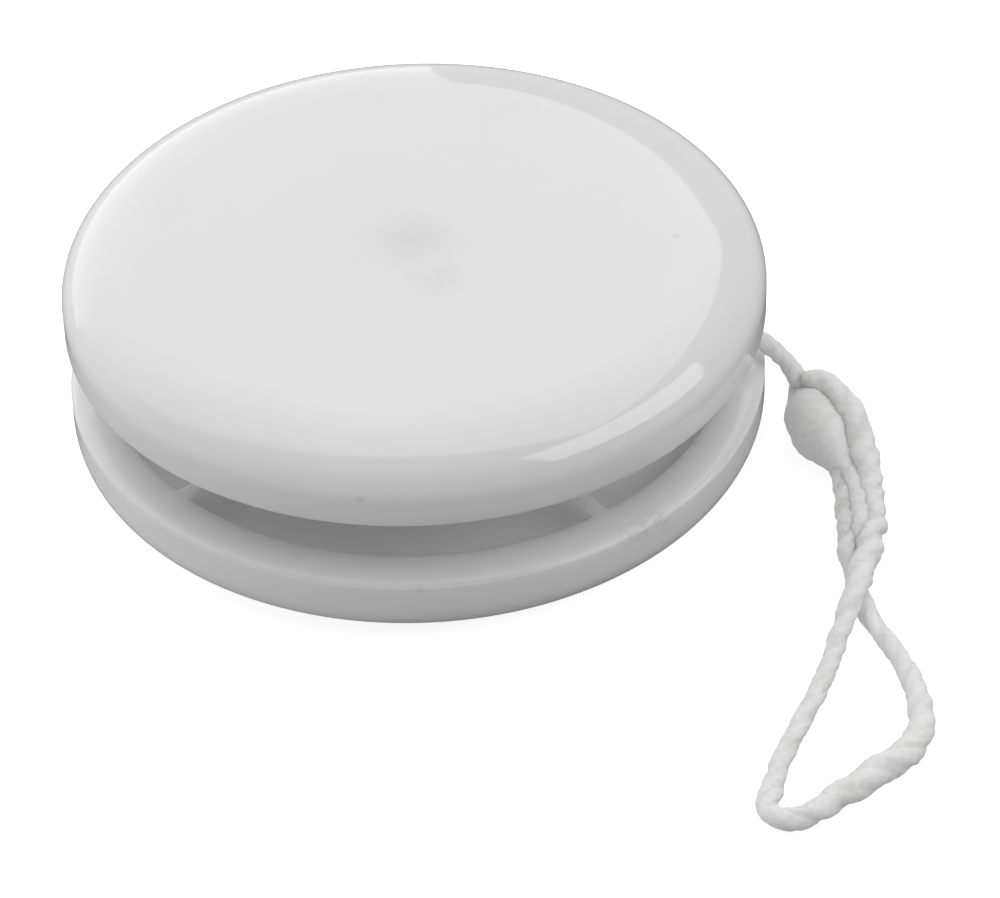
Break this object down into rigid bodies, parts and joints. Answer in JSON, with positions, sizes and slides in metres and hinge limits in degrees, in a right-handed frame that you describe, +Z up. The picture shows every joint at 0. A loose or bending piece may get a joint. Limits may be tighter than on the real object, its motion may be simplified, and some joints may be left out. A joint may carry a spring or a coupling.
{
  "type": "yo-yo",
  "caption": "White plastic yo-yo lying on its face, with its string wound on the axle and a knotted, twisted finger loop lying beside it.",
  "frame": {"origin": "centre of the lower half's flat face, on the axle's line", "axes": "+Z up along the axle, from the lower half to the upper half; +X towards the side where the string leaves the gap; -Y towards the finger loop"},
  "size_m": [0.0673, 0.0795, 0.0188],
  "materials": {
    "shell": "glossy moulded white, slightly translucent",
    "axle": "drawn steel pin",
    "string": "soft twisted cotton"
  },
  "bodies": {
    "yoyo": {"half_lower": "shell", "half_upper": "shell", "axle": "axle"},
    "string": {"string_winding": "string", "string_tail": "string", "string_knot": "string", "string_shank": "string", "finger_loop": "string"}
  },
  "joints": [
    {"name": "string_spin", "type": "hinge", "parent": "yoyo", "child": "string", "pos_m": [0, 0, 0.0094], "axis": [0, 0, 1], "continuous": true}
  ]
}
